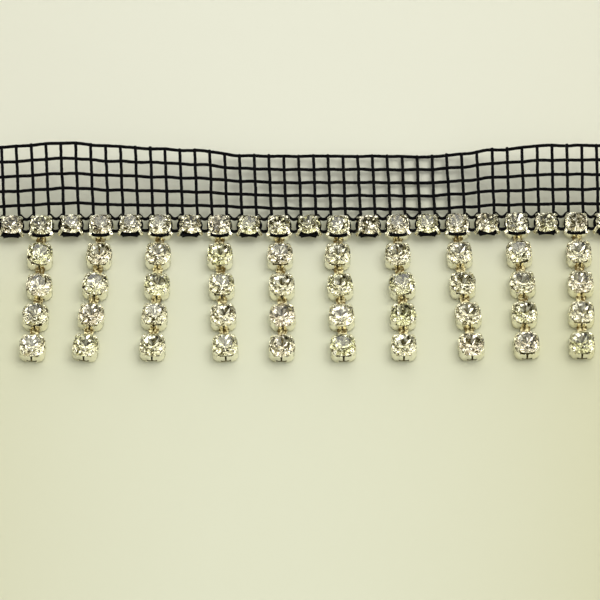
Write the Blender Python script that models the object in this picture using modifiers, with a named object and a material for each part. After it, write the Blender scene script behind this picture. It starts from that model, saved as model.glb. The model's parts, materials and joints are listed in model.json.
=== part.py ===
"""A rhinestone fringe trim, lying flat: a strip of sewing net, a row of stones clamped to it and drops of cup chain.

Everything is in millimetres until it is scaled to metres at the end of each shape. X runs along the trim,
+Y is the sewing edge of the net, and Z is up from the surface that the trim lies on.
"""

import math
from dataclasses import dataclass

import bmesh
import bpy
from mathutils import Matrix, Vector

MM = 0.001

# Driving sizes, in millimetres.
STONES = 21
ROW_PITCH = 5.4
ROW_PLACE = Vector((0.35, 5.9))
THREAD_WIDE = 0.55
THREAD_HIGH = 0.5
WARP_OFFSET = ROW_PITCH / 4
NET_END = ROW_PITCH / 2
ROW_LEVEL = 2.0
ROW_BARS = 1.1
NET_PITCH = 2.75
NET_ROWS = 5
FLAT_TO = 2.2
TAB_DROP = 2.35
KNOB = 0.12

CLEARANCE = 0.3
POST_RADIUS = 0.5
STONE_RADIUS = 2.1
CUP_RADIUS = 2.45
CUP_HEIGHT = 2.55
CHAIN_START = 6.1
CHAIN_PITCH = 6.2
LINK_WIDE = 1.1
LINK_LOW = 0.6
LINK_HIGH = 0.9
LINK_TUCK = 1.5
POCKET_DEEP = 1.25
CLAW_PROUD = 0.2
CLAW_TAPER = 0.62
ROW_SIDES = 12
CUP_SIDES = 8


@dataclass(frozen=True)
class Station:
    """How the trim lies at one place along its length."""

    along: float
    row_shift: float
    first_thread: float
    top_thread: float
    lean: float


# The waves of the trim from the photo: the row's sideways drift, the level of the
# net at its first free thread and at its top thread, and the sideways lean of the top.
LIE = (
    Station(along=-57.0, row_shift=-0.25, first_thread=2.3, top_thread=4.8, lean=-0.72),
    Station(along=-43.0, row_shift=0.0, first_thread=3.2, top_thread=5.9, lean=-0.7),
    Station(along=-36.0, row_shift=0.0, first_thread=2.7, top_thread=4.8, lean=-0.66),
    Station(along=-28.0, row_shift=0.0, first_thread=2.4, top_thread=4.0, lean=-0.62),
    Station(along=-20.0, row_shift=-0.05, first_thread=2.3, top_thread=3.3, lean=-0.58),
    Station(along=-12.0, row_shift=-0.1, first_thread=1.9, top_thread=1.5, lean=-0.54),
    Station(along=-4.0, row_shift=-0.1, first_thread=1.25, top_thread=1.25, lean=-0.5),
    Station(along=9.0, row_shift=-0.1, first_thread=1.25, top_thread=1.25, lean=-0.5),
    Station(along=22.0, row_shift=0.1, first_thread=0.8, top_thread=0.7, lean=-0.36),
    Station(along=28.0, row_shift=0.2, first_thread=1.3, top_thread=1.4, lean=-0.3),
    Station(along=34.0, row_shift=0.35, first_thread=1.9, top_thread=2.9, lean=-0.2),
    Station(along=44.0, row_shift=0.45, first_thread=2.15, top_thread=4.2, lean=-0.1),
    Station(along=57.0, row_shift=0.45, first_thread=2.15, top_thread=4.4, lean=0.0),
)

# How far each drop's cups, from the top one down, hang to the side of their stone.
DROP_SWAY = (
    (-0.1, 0.0, -0.5, -0.9),
    (-0.2, -0.7, -1.35, -2.2),
    (-0.3, -0.4, -0.75, -1.0),
    (0.1, 0.45, 0.8, 1.2),
    (0.2, 0.5, 0.7, 0.55),
    (-0.2, 0.25, 0.5, 0.75),
    (-0.1, 0.65, 0.75, 0.8),
    (0.3, 0.75, 1.65, 2.1),
    (0.35, 0.8, 0.95, 1.2),
    (0.35, 0.5, 0.45, 0.35),
)

# Profiles as (radius, height) from the bottom of the axis to the top of it.
PLATE_PROFILE = ((0.0, 1.0), (1.55, 1.0), (1.9, 1.45))
BASE_PROFILE = ((0.0, 0.0), (2.05, 0.0), (2.3, 0.3), (CUP_RADIUS, 1.45))
HEAD_PROFILE = (
    (POST_RADIUS, 1.45),
    (POST_RADIUS, 2.55),
    (1.9, 2.55),
    (STONE_RADIUS, 2.75),
    (STONE_RADIUS, 3.2),
    (1.25, 3.95),
    (0.0, 3.95),
)
CUP_PROFILE = (
    (0.0, 0.0),
    (2.05, 0.0),
    (2.3, 0.35),
    (CUP_RADIUS, CUP_HEIGHT),
    (2.2, 2.75),
    (1.3, 3.6),
    (0.0, 3.6),
)


def clear_scene():
    """Remove every object that the file opened with."""
    for obj in list(bpy.data.objects):
        bpy.data.objects.remove(obj, do_unlink=True)


def make_collection(name):
    """Return a new collection linked to the scene."""
    collection = bpy.data.collections.new(name)
    bpy.context.scene.collection.children.link(collection)
    return collection


def make_material(name, colour, roughness, metallic):
    """Return a Principled material with one colour, roughness and metallic value."""
    material = bpy.data.materials.new(name)
    material.use_nodes = True
    shader = material.node_tree.nodes["Principled BSDF"]
    shader.inputs["Base Color"].default_value = (*colour, 1.0)
    shader.inputs["Roughness"].default_value = roughness
    shader.inputs["Metallic"].default_value = metallic
    material.diffuse_color = (*colour, 1.0)
    return material


def silver_material(name):
    """Silver plate with the pale green-gold tint that the photo shows."""
    return make_material(name, (0.78, 0.77, 0.66), 0.2, 1.0)


def net_material(name):
    """Black net."""
    return make_material(name, (0.012, 0.012, 0.014), 0.6, 0.0)


def add_object(name, bm, collection, material=None):
    """Make a named object from a bmesh in millimetres, and free the bmesh."""
    bmesh.ops.scale(bm, vec=(MM, MM, MM), verts=bm.verts)
    bmesh.ops.recalc_face_normals(bm, faces=bm.faces)
    mesh = bpy.data.meshes.new(name)
    bm.to_mesh(mesh)
    bm.free()
    if material is not None:
        mesh.materials.append(material)
    obj = bpy.data.objects.new(name, mesh)
    collection.objects.link(obj)
    return obj


def add_boolean(obj, cutter, operation):
    """Join or cut an object with another one, which stays out of the render."""
    modifier = obj.modifiers.new(operation.lower(), "BOOLEAN")
    modifier.operation = operation
    modifier.solver = "EXACT"
    modifier.object = cutter
    cutter.hide_render = True


def eased(value_from, value_to, share):
    """Pass from one value to another with a level start and end."""
    bend = (1 - math.cos(math.pi * share)) / 2
    return value_from + (value_to - value_from) * bend


def lie_at(along):
    """Return how the trim lies at a place along it, eased between the stations."""
    along = min(max(along, LIE[0].along), LIE[-1].along)
    for before, after in zip(LIE, LIE[1:]):
        if along <= after.along:
            break
    share = (along - before.along) / (after.along - before.along)
    return Station(
        along,
        eased(before.row_shift, after.row_shift, share),
        eased(before.first_thread, after.first_thread, share),
        eased(before.top_thread, after.top_thread, share),
        eased(before.lean, after.lean, share),
    )


def stone_place(index):
    """Return the place of a row stone, counted from 0 at the left end."""
    along = ROW_PITCH * (index - (STONES - 1) / 2)
    return Vector((along, lie_at(along).row_shift))


def weft_lines():
    """Return the Y of each thread that runs along the trim, from the row up."""
    first = ROW_BARS + NET_PITCH
    return [-ROW_BARS, ROW_BARS] + [first + NET_PITCH * row for row in range(NET_ROWS)]


def warp_lines():
    """Return the X of each thread that crosses the trim, two to a stone."""
    middles = [ROW_PITCH * (index - (STONES - 1) / 2) for index in range(STONES)]
    return [middle + side * WARP_OFFSET for middle in middles for side in (-1, 1)]


def thread_edges(lines):
    """Return the two edges of each thread in turn."""
    return [line + side * THREAD_WIDE / 2 for line in lines for side in (-1, 1)]


def place_on_net(along, across):
    """Return where a point of the flat net lies, in the trim's waves."""
    lie = lie_at(along)
    wefts = weft_lines()
    first, top = wefts[2], wefts[-1]
    if across <= FLAT_TO:
        height = ROW_LEVEL
    elif across <= first:
        height = eased(ROW_LEVEL, lie.first_thread, (across - FLAT_TO) / (first - FLAT_TO))
    else:
        share = (across - first) / (top - first)
        height = lie.first_thread + (lie.top_thread - lie.first_thread) * share
    lean = lie.lean * max(0.0, across - FLAT_TO) / (top - FLAT_TO)
    return Vector((along + lean, across + lie.row_shift, height))


def build_net(collection):
    """Cut the net's cells out of a grid, bend it to its waves and thicken it."""
    half = (STONES * ROW_PITCH) / 2
    columns = [-half] + thread_edges(warp_lines()) + [half]
    wefts = thread_edges(weft_lines())
    rows = [-TAB_DROP] + wefts[:4] + [FLAT_TO] + wefts[4:]
    bm = bmesh.new()
    bmesh.ops.create_grid(
        bm, x_segments=len(columns) - 1, y_segments=len(rows) - 1, size=0.5
    )
    bm.verts.ensure_lookup_table()
    cell = {}
    for vert in bm.verts:
        column = round((vert.co.x + 0.5) * (len(columns) - 1))
        row = round((vert.co.y + 0.5) * (len(rows) - 1))
        cell[vert] = (column, row)
    holes = [
        face
        for face in bm.faces
        if not is_thread(
            min(cell[vert][0] for vert in face.verts),
            min(cell[vert][1] for vert in face.verts),
            len(columns),
        )
    ]
    for vert in bm.verts:
        column, row = cell[vert]
        across = rows[row]
        along = columns[column]
        if row == 0:
            outer = -1 if column % 4 == 1 else 1
            if column % 4 in (0, 1):
                along += outer * KNOB
                across -= KNOB
        vert.co = place_on_net(along, across)
    bmesh.ops.delete(bm, geom=holes, context="FACES")
    obj = add_object("net", bm, collection, net_material("net_black"))
    thicken = obj.modifiers.new("thread", "SOLIDIFY")
    thicken.thickness = THREAD_HIGH * MM
    thicken.offset = 0.0
    return obj


def is_thread(column, row, columns):
    """Say whether a cell of the net's grid is thread, and not one of its holes.

    Columns run end, thread, gap, thread, gap, thread and so on. Rows run tab, bar,
    gap, bar, gap, gap, thread, gap, thread and so on.
    """
    on_warp = column % 2 == 1
    if row == 0:
        return 0 < column < columns - 2 and column % 4 in (1, 2, 3)
    on_weft = row in (1, 3) or (row >= 6 and row % 2 == 0)
    return on_warp or on_weft


def turned_body(profile, sides):
    """Turn a profile round the Z axis into one closed body, a flat side to each axis."""
    bm = bmesh.new()
    verts = [bm.verts.new((radius, 0.0, height)) for radius, height in profile]
    for lower, upper in zip(verts, verts[1:]):
        bm.edges.new((lower, upper))
    bmesh.ops.spin(
        bm,
        geom=bm.verts[:] + bm.edges[:],
        cent=(0, 0, 0),
        axis=(0, 0, 1),
        angle=2 * math.pi,
        steps=sides,
    )
    bmesh.ops.remove_doubles(bm, verts=bm.verts, dist=1e-4)
    bmesh.ops.dissolve_degenerate(bm, edges=bm.edges, dist=1e-5)
    half_side = math.pi / sides if sides % 8 == 0 else 0.0
    bmesh.ops.rotate(
        bm, verts=bm.verts, cent=(0, 0, 0), matrix=Matrix.Rotation(half_side, 3, "Z")
    )
    return bm


def add_claws(bm, low, high):
    """Raise the four crown facets on the diagonals into claws."""
    claws = []
    for face in bm.faces:
        middle = face.calc_center_median()
        levels = [vert.co.z for vert in face.verts]
        turn = math.degrees(math.atan2(middle.y, middle.x)) % 90
        if len(face.verts) == 4 and abs(turn - 45) < 1:
            if min(levels) > low and max(levels) < high:
                claws.append(face)
    raised = bmesh.ops.extrude_discrete_faces(bm, faces=claws)["faces"]
    for face in raised:
        face.normal_update()
        middle = face.calc_center_median()
        outward = Vector((middle.x, middle.y, 0)).normalized() * CLAW_PROUD
        lift = Vector((0, 0, CLAW_PROUD / 2))
        for vert in face.verts:
            vert.co = middle + (vert.co - middle) * CLAW_TAPER + outward + lift


def build_pocket(index, cutters):
    """Return the block that opens a row cup for the first link of its drop."""
    half_wide = LINK_WIDE / 2 + CLEARANCE
    low, high = LINK_LOW - CLEARANCE, LINK_HIGH + CLEARANCE
    bm = bmesh.new()
    bmesh.ops.create_cube(bm, size=1.0)
    reach = CUP_RADIUS + 1.0
    bmesh.ops.scale(
        bm, vec=(2 * half_wide, reach - POCKET_DEEP, high - low), verts=bm.verts
    )
    middle = Vector((0, -(reach + POCKET_DEEP) / 2, (low + high) / 2))
    bmesh.ops.translate(bm, vec=middle, verts=bm.verts)
    return add_object(f"pocket_{index + 1:02d}", bm, cutters)


def build_setting(index, collection, cutters):
    """Build one stone of the row with the setting that clamps it to the net."""
    carries_drop = index % 2 == 1
    foot = BASE_PROFILE if carries_drop else PLATE_PROFILE
    bm = turned_body(foot + HEAD_PROFILE, ROW_SIDES)
    add_claws(bm, low=3.1, high=4.0)
    name = f"setting_{index + 1:02d}"
    obj = add_object(name, bm, collection, silver_material(f"silver_{name}"))
    place = (stone_place(index) * MM).to_3d()
    obj.location = place
    if carries_drop:
        pocket = build_pocket(index, cutters)
        pocket.location = place
        add_boolean(obj, pocket, "DIFFERENCE")
    return obj


def drop_places(number):
    """Return the centres of a drop's cups, from its stone of the row down."""
    root = stone_place(2 * number + 1)
    places = [root]
    for step, sway in enumerate(DROP_SWAY[number]):
        places.append(root + Vector((sway, -CHAIN_START - CHAIN_PITCH * step)))
    return places


def join_meshes(parts):
    """Put several bmeshes into one, and free them."""
    whole = bmesh.new()
    for part in parts:
        mesh = bpy.data.meshes.new("part")
        part.to_mesh(mesh)
        part.free()
        whole.from_mesh(mesh)
        bpy.data.meshes.remove(mesh)
    return whole


def chain_cup(place, heading):
    """Return one cup with its stone, turned to face along its drop."""
    bm = turned_body(CUP_PROFILE, CUP_SIDES)
    add_claws(bm, low=2.7, high=3.7)
    turn = Matrix.Translation(place.to_3d()) @ Matrix.Rotation(heading, 4, "Z")
    bmesh.ops.transform(bm, matrix=turn, verts=bm.verts)
    return bm


def chain_link(start, end):
    """Return the flat link between two places."""
    bm = bmesh.new()
    bmesh.ops.create_cube(bm, size=1.0)
    way = end - start
    size = Vector((LINK_WIDE, way.length, LINK_HIGH - LINK_LOW))
    bmesh.ops.scale(bm, vec=size, verts=bm.verts)
    middle = ((start + end) / 2).to_3d()
    middle.z = (LINK_LOW + LINK_HIGH) / 2
    heading = math.atan2(-way.x, way.y)
    turn = Matrix.Translation(middle) @ Matrix.Rotation(heading, 4, "Z")
    bmesh.ops.transform(bm, matrix=turn, verts=bm.verts)
    return bm


def build_drop(number, collection, cutters):
    """Build one drop: four cups with their stones, joined by links."""
    places = drop_places(number)
    cups, links = [], []
    for above, below in zip(places, places[1:]):
        way = (above - below).normalized()
        heading = math.atan2(-way.x, way.y)
        cups.append(chain_cup(below, heading))
        tuck_above = way * (CUP_RADIUS - LINK_TUCK / 2)
        links.append(chain_link(below + tuck_above, above - tuck_above))
    name = f"drop_{number + 1:02d}"
    obj = add_object(name, join_meshes(cups), collection, silver_material(f"silver_{name}"))
    helper = add_object(f"links_{number + 1:02d}", join_meshes(links), cutters)
    add_boolean(obj, helper, "UNION")
    return obj


def main():
    """Build the trim."""
    clear_scene()
    trim = make_collection("rhinestone_fringe_trim")
    cutters = make_collection("cutters")
    frame = bpy.data.objects.new("trim_frame", None)
    frame.location = (ROW_PLACE * MM).to_3d()
    trim.objects.link(frame)
    build_net(trim)
    for index in range(STONES):
        build_setting(index, trim, cutters)
    for number in range(len(DROP_SWAY)):
        build_drop(number, trim, cutters)
    for obj in list(trim.objects) + list(cutters.objects):
        if obj is not frame:
            obj.parent = frame


if __name__ == "__main__":
    main()
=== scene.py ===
"""Looks of a rhinestone fringe trim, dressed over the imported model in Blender 4.5.

The trim lies on a pale surface: a strip of black net, a row of foiled crystals whose claws clamp
the net's lowest cells, and ten drops of cup chain. Lengths are in millimetres inside the classes
and become metres where a mesh is made. X runs along the trim and +Y is the net's sewing edge.
"""

from __future__ import annotations

import json
import logging
import math
import random
from dataclasses import dataclass, field
from enum import Enum
from typing import Callable, Iterable, Sequence

import bmesh
import bpy
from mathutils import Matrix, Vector

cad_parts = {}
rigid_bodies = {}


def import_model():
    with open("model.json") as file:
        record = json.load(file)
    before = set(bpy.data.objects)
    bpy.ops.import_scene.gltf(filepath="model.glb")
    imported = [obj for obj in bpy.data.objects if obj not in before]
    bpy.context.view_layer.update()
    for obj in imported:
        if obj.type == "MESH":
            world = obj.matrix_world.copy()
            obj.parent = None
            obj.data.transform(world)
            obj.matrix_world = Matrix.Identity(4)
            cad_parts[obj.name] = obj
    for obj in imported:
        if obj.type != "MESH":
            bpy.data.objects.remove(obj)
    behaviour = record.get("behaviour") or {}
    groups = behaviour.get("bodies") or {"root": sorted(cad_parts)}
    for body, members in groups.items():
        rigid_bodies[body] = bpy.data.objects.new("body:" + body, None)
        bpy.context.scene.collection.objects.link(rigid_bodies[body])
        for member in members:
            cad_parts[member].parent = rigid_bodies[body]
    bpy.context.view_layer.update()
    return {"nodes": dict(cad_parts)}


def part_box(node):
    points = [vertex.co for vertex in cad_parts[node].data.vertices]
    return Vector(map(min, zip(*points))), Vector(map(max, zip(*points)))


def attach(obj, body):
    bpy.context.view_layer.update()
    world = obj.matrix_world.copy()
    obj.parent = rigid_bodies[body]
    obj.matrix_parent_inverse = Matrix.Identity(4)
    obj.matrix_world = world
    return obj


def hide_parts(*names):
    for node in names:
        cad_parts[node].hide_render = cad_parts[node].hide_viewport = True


log = logging.getLogger("rhinestone_fringe")

MM = 0.001
SIDES = 8
HEAD_STEPS = 8
BAR_STEPS = 8
TAB_STEPS = 6
ANGLE_SLACK = 0.01
Colour = tuple[float, float, float]
Way = tuple[float, float, float]


class Slot(Enum):
    """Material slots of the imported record."""

    NET = "net"
    SETTING = "setting"
    CRYSTAL = "crystal"


class StoneKind(Enum):
    """The two settings that take turns along the row."""

    PLAIN = "plain"
    HANGING = "hanging"


class Band(Enum):
    """Which part of its circle one band of pressed metal covers."""

    WHOLE = "whole"
    PETALS = "petals"
    SLOTTED = "slotted"
    CLAWS = "claws"


class Wire:
    """A socket that takes part in Python arithmetic and adds the Math nodes it needs."""

    def __init__(self, tree: "Tree", socket: bpy.types.NodeSocket) -> None:
        """Keep the tree and the output socket."""
        self.tree = tree
        self.socket = socket

    def _math(self, operation: str, first: object, second: object) -> "Wire":
        """Add one Math node.

        Args:
            operation: the node's operation.
            first: the first value or wire.
            second: the second value or wire.

        Returns:
            The node's result.
        """
        return self.tree.add("ShaderNodeMath", {"operation": operation}, {0: first, 1: second})

    def __add__(self, other: object) -> "Wire":
        """Sum."""
        return self._math("ADD", self, other)

    __radd__ = __add__

    def __mul__(self, other: object) -> "Wire":
        """Product."""
        return self._math("MULTIPLY", self, other)

    __rmul__ = __mul__

    def __sub__(self, other: object) -> "Wire":
        """Difference."""
        return self._math("SUBTRACT", self, other)

    def __rsub__(self, other: object) -> "Wire":
        """Difference from a number."""
        return self._math("SUBTRACT", other, self)

    def clamped(self) -> "Wire":
        """The value held between 0 and 1."""
        return self.tree.add("ShaderNodeClamp", {}, {"Value": self})

    def past(self, start: float, rate: float) -> "Wire":
        """How far the value lies past a start, times a rate, held between 0 and 1."""
        return ((self - start) * rate).clamped()


class Tree:
    """Makes nodes in one node tree, for materials, the world and geometry alike."""

    def __init__(self, nodes: bpy.types.NodeTree) -> None:
        """Keep the node tree."""
        self.tree = nodes

    def make(
        self, kind: str, settings: dict | None = None, inputs: dict | None = None
    ) -> bpy.types.Node:
        """Make one node.

        Args:
            kind: the node's type.
            settings: the node's own properties; a ramp's stops are given as "stops".
            inputs: values or wires by the socket's name or number.

        Returns:
            The node.
        """
        node = self.tree.nodes.new(kind)
        for name, value in (settings or {}).items():
            if name == "stops":
                self._set_stops(node.color_ramp, value)
            else:
                setattr(node, name, value)
        for name, value in (inputs or {}).items():
            if isinstance(value, Wire):
                self.tree.links.new(value.socket, node.inputs[name])
            else:
                node.inputs[name].default_value = value
        return node

    def add(
        self,
        kind: str,
        settings: dict | None = None,
        inputs: dict | None = None,
        out: int | str = 0,
    ) -> Wire:
        """Make one node and return one of its outputs.

        Args:
            kind: the node's type.
            settings: the node's own properties.
            inputs: values or wires by the socket's name or number.
            out: the output's name or number.

        Returns:
            The output as a wire.
        """
        node = self.make(kind, settings, inputs)
        return Wire(self, node.outputs[out])

    @staticmethod
    def _set_stops(ramp: bpy.types.ColorRamp, stops: Sequence[tuple[float, Colour]]) -> None:
        """Give a colour ramp its stops.

        Args:
            ramp: the ramp.
            stops: each stop's place and colour.
        """
        while len(ramp.elements) < len(stops):
            ramp.elements.new(1.0)
        for element, (place, colour) in zip(ramp.elements, stops):
            element.position = place
            element.color = (*colour, 1.0)

    def object_noise(self, scale: float, detail: float, stretch: Way = (1, 1, 1)) -> Wire:
        """Noise on the piece's own coordinates.

        Args:
            scale: how many features a metre holds.
            detail: the noise's detail.
            stretch: the scale along each axis.

        Returns:
            The noise's value from 0 to 1.
        """
        place = self.add("ShaderNodeTexCoord", {}, {}, "Object")
        turned = self.add("ShaderNodeMapping", {}, {"Vector": place, "Scale": stretch})
        return self.add(
            "ShaderNodeTexNoise", {}, {"Vector": turned, "Scale": scale, "Detail": detail}
        )

    def blend(self, share: Wire, low: Wire | Colour, high: Colour) -> Wire:
        """Mix two colours.

        Args:
            share: how much of the second colour shows.
            low: the first colour.
            high: the second colour.

        Returns:
            The mixed colour.
        """
        first = low if isinstance(low, Wire) else (*low, 1.0)
        ends = {0: share, 6: first, 7: (*high, 1.0)}
        return self.add("ShaderNodeMix", {"data_type": "RGBA"}, ends, 2)

    def bump(self, height: Wire, strength: float, distance: float) -> Wire:
        """Turn a height into a normal.

        Args:
            height: the height's value.
            strength: the bump's strength.
            distance: the height of a step from 0 to 1, in millimetres.

        Returns:
            The normal.
        """
        return self.add(
            "ShaderNodeBump",
            {},
            {"Height": height, "Strength": strength, "Distance": distance * MM},
        )


@dataclass(frozen=True)
class Finish:
    """A material that ends in one Principled shader."""

    name: str

    def material(self) -> bpy.types.Material:
        """Make the material.

        Returns:
            The material.
        """
        material = bpy.data.materials.new(self.name)
        material.use_nodes = True
        material.node_tree.nodes.clear()
        tree = Tree(material.node_tree)
        shader = tree.add("ShaderNodeBsdfPrincipled", {}, self.sockets(tree))
        tree.make("ShaderNodeOutputMaterial", {}, {"Surface": shader})
        return material

    def sockets(self, tree: Tree) -> dict:
        """Give the shader's sockets, which each finish does in its own way."""
        raise NotImplementedError


@dataclass(frozen=True)
class SilverPlate(Finish):
    """Bright silver plate over pressed brass, warm where the plating is thin."""

    name: str = "silver_plate"
    bright: Colour = (1.0, 0.98, 0.84)
    warm: Colour = (0.92, 0.86, 0.6)
    wear: float = 900.0
    worn_from: float = 0.45
    worn_rate: float = 2.2
    dents: float = 1400.0
    dent_stretch: Way = (1.0, 1.0, 0.35)
    dent_depth: float = 0.3
    polish: float = 0.1
    dulling: float = 0.16

    def sockets(self, tree: Tree) -> dict:
        """Mix the plate's two colours and dent it.

        Args:
            tree: the material's tree.

        Returns:
            Values and wires by socket.
        """
        worn = tree.object_noise(self.wear, 3.0).past(self.worn_from, self.worn_rate)
        dents = tree.object_noise(self.dents, 2.0, self.dent_stretch)
        return {
            "Base Color": tree.blend(worn, self.bright, self.warm),
            "Metallic": 1.0,
            "Roughness": self.polish + worn * self.dulling,
            "Normal": tree.bump(dents, 1.0, self.dent_depth),
        }


@dataclass(frozen=True)
class WornBrass(Finish):
    """Thinly plated brass, brown where it is worn, for the links."""

    name: str = "worn_brass"
    gold: Colour = (0.9, 0.83, 0.54)
    brown: Colour = (0.18, 0.13, 0.05)
    stains: float = 2400.0
    stained_from: float = 0.41
    stained_rate: float = 9.0
    stain_depth: float = 0.04
    polish: float = 0.28
    dulling: float = 0.25

    def sockets(self, tree: Tree) -> dict:
        """Stain the brass.

        Args:
            tree: the material's tree.

        Returns:
            Values and wires by socket.
        """
        stains = tree.object_noise(self.stains, 3.0)
        share = stains.past(self.stained_from, self.stained_rate)
        return {
            "Base Color": tree.blend(share, self.gold, self.brown),
            "Metallic": 1.0,
            "Roughness": self.polish + share * self.dulling,
            "Normal": tree.bump(stains, 0.3, self.stain_depth),
        }


@dataclass(frozen=True)
class CupInsidePaintedShade(WornBrass):
    """The inside of the cups: the links' stained brass, painted much darker as painted shade in the
    cups' hollows.
    """

    name: str = "cup_inside"
    # Both colours are painted dark as painted shade in the hollows, over the brass and its stains.
    gold: Colour = (0.3, 0.23, 0.09)
    brown: Colour = (0.05, 0.035, 0.01)


@dataclass(frozen=True)
class CrystalGlass(Finish):
    """Clear cut glass with a faint warm cast."""

    name: str = "crystal_glass"
    tint: Colour = (0.99, 0.99, 0.96)
    smear: float = 1100.0
    smeared_from: float = 0.55
    smeared_rate: float = 0.12
    refraction: float = 1.56

    def sockets(self, tree: Tree) -> dict:
        """Smear the glass a little.

        Args:
            tree: the material's tree.

        Returns:
            Values and wires by socket.
        """
        smear = tree.object_noise(self.smear, 2.0)
        return {
            "Base Color": (*self.tint, 1.0),
            "Roughness": smear.past(self.smeared_from, self.smeared_rate),
            "IOR": self.refraction,
            "Transmission Weight": 1.0,
        }


@dataclass(frozen=True)
class CrystalFoil(Finish):
    """Silver foil on the back facets of a crystal, aged a little green here and pink there."""

    name: str = "crystal_foil"
    light: Colour = (0.92, 0.9, 0.8)
    green: Colour = (0.88, 0.88, 0.68)
    pink: Colour = (0.91, 0.86, 0.79)
    drift: float = 150.0
    green_above: float = 0.52
    pink_below: float = 0.46
    aged_rate: float = 7.0
    mottle: float = 700.0
    mottled_from: float = 0.4
    mottled_rate: float = 2.0
    polish: float = 0.05
    dulling: float = 0.08

    def sockets(self, tree: Tree) -> dict:
        """Age the foil from stone to stone and mottle its shine.

        Args:
            tree: the material's tree.

        Returns:
            Values and wires by socket.
        """
        mottle = tree.object_noise(self.mottle, 2.0).past(self.mottled_from, self.mottled_rate)
        drift = tree.object_noise(self.drift, 1.0)
        pinked = drift.past(self.pink_below, -self.aged_rate)
        greened = drift.past(self.green_above, self.aged_rate)
        warmed = tree.blend(pinked, self.light, self.pink)
        return {
            "Base Color": tree.blend(greened, warmed, self.green),
            "Metallic": 1.0,
            "Roughness": self.polish + mottle * self.dulling,
        }


@dataclass(frozen=True)
class NetThread(Finish):
    """Black spun thread with a dull, fibrous surface."""

    name: str = "net_thread"
    deep: Colour = (0.0015, 0.0015, 0.002)
    lit: Colour = (0.007, 0.007, 0.008)
    fibres: float = 5200.0
    twist: float = 5200.0 / 3
    twist_stretch: Way = (1.0, 1.0, 3.0)
    lit_rate: float = 2.4
    fibre_depth: float = 0.08
    dull: float = 0.62
    duller: float = 0.3

    def sockets(self, tree: Tree) -> dict:
        """Lay fibres and twist on the thread.

        Args:
            tree: the material's tree.

        Returns:
            Values and wires by socket.
        """
        fibres = tree.object_noise(self.fibres, 3.0)
        twist = tree.object_noise(self.twist, 1.0, self.twist_stretch)
        lit = (fibres * twist * self.lit_rate).clamped()
        return {
            "Base Color": tree.blend(lit, self.deep, self.lit),
            "Roughness": self.dull + fibres * self.duller,
            "Normal": tree.bump(fibres + twist, 0.8, self.fibre_depth),
            "Specular IOR Level": 0.03,
        }


@dataclass(frozen=True)
class PaleFloor(Finish):
    """Matt cream surface with a green cast. Its sides are painted darker and yellower as painted
    shade where the light falls off, and behind the net it is painted a cooler, paler grey that
    stands in for the tone of the net's shadow.

    Its places are in metres, as its own coordinates are.
    """

    name: str = "pale_floor"
    near: Colour = (0.69, 0.7, 0.545)
    # Painted shade: the floor turns to this darker, yellower colour toward the sides, where the
    # light falls off.
    side: Colour = (0.59, 0.58, 0.385)
    # Painted shade tint: behind the net the floor turns this cooler, paler grey in place of the
    # net's shadow.
    net_shadow_tint: Colour = (0.74, 0.74, 0.65)
    middle: float = -0.008
    half: float = 0.07
    clouds: float = 18.0
    cloud_share: float = 0.12
    net_edge: float = -0.008
    net_rate: float = 40.0
    net_shadow_tint_share: float = 0.7
    grain: float = 2600.0
    grain_depth: float = 0.02
    dull: float = 0.55
    duller: float = 0.1

    def sockets(self, tree: Tree) -> dict:
        """Tint the floor from place to place.

        Args:
            tree: the material's tree.

        Returns:
            Values and wires by socket.
        """
        clouds = tree.object_noise(self.clouds, 1.0)
        grain = tree.object_noise(self.grain, 2.0)
        place = tree.add("ShaderNodeTexCoord", {}, {}, "Object")
        parts = tree.make("ShaderNodeSeparateXYZ", {}, {0: place})
        across = (Wire(tree, parts.outputs["X"]) - self.middle) * (1 / self.half)
        # Painted shade toward the sides, with random clouds on top.
        side_shade = (across * across + (clouds - 0.5) * self.cloud_share).clamped()
        # Painted tint of the net's shadow, from the net's edge back.
        behind = Wire(tree, parts.outputs["Y"]).past(self.net_edge, self.net_rate)
        base = tree.blend(side_shade, self.near, self.side)
        return {
            "Base Color": tree.blend(behind * self.net_shadow_tint_share, base, self.net_shadow_tint),
            "Roughness": self.dull + grain * self.duller,
            "Normal": tree.bump(grain, 0.05, self.grain_depth),
            "Specular IOR Level": 0.2,
        }


def put(name: str, data: bpy.types.ID) -> bpy.types.Object:
    """Link a new object to the scene.

    Args:
        name: the object's name.
        data: its mesh, light or camera.

    Returns:
        The object.
    """
    obj = bpy.data.objects.new(name, data)
    bpy.context.scene.collection.objects.link(obj)
    return obj


class MeshMaker:
    """Turns bmeshes in millimetres into plain mesh objects in metres."""

    @staticmethod
    def to_object(name: str, bm: bmesh.types.BMesh) -> bpy.types.Object:
        """Make a flat-shaded object from a bmesh, and free the bmesh.

        Args:
            name: the object's name.
            bm: the shape, in millimetres.

        Returns:
            The object, linked to the scene.
        """
        bmesh.ops.scale(bm, vec=(MM, MM, MM), verts=bm.verts)
        mesh = bpy.data.meshes.new(name)
        bm.to_mesh(mesh)
        bm.free()
        return put(name, mesh)

    @staticmethod
    def bake(obj: bpy.types.Object, name: str) -> bpy.types.Object:
        """Replace an object by the plain mesh that its modifiers make.

        Args:
            obj: the object with its modifiers.
            name: the new object's name.

        Returns:
            The plain object.
        """
        graph = bpy.context.evaluated_depsgraph_get()
        mesh = bpy.data.meshes.new_from_object(obj.evaluated_get(graph))
        bpy.data.objects.remove(obj, do_unlink=True)
        mesh.name = name
        return put(name, mesh)


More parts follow.
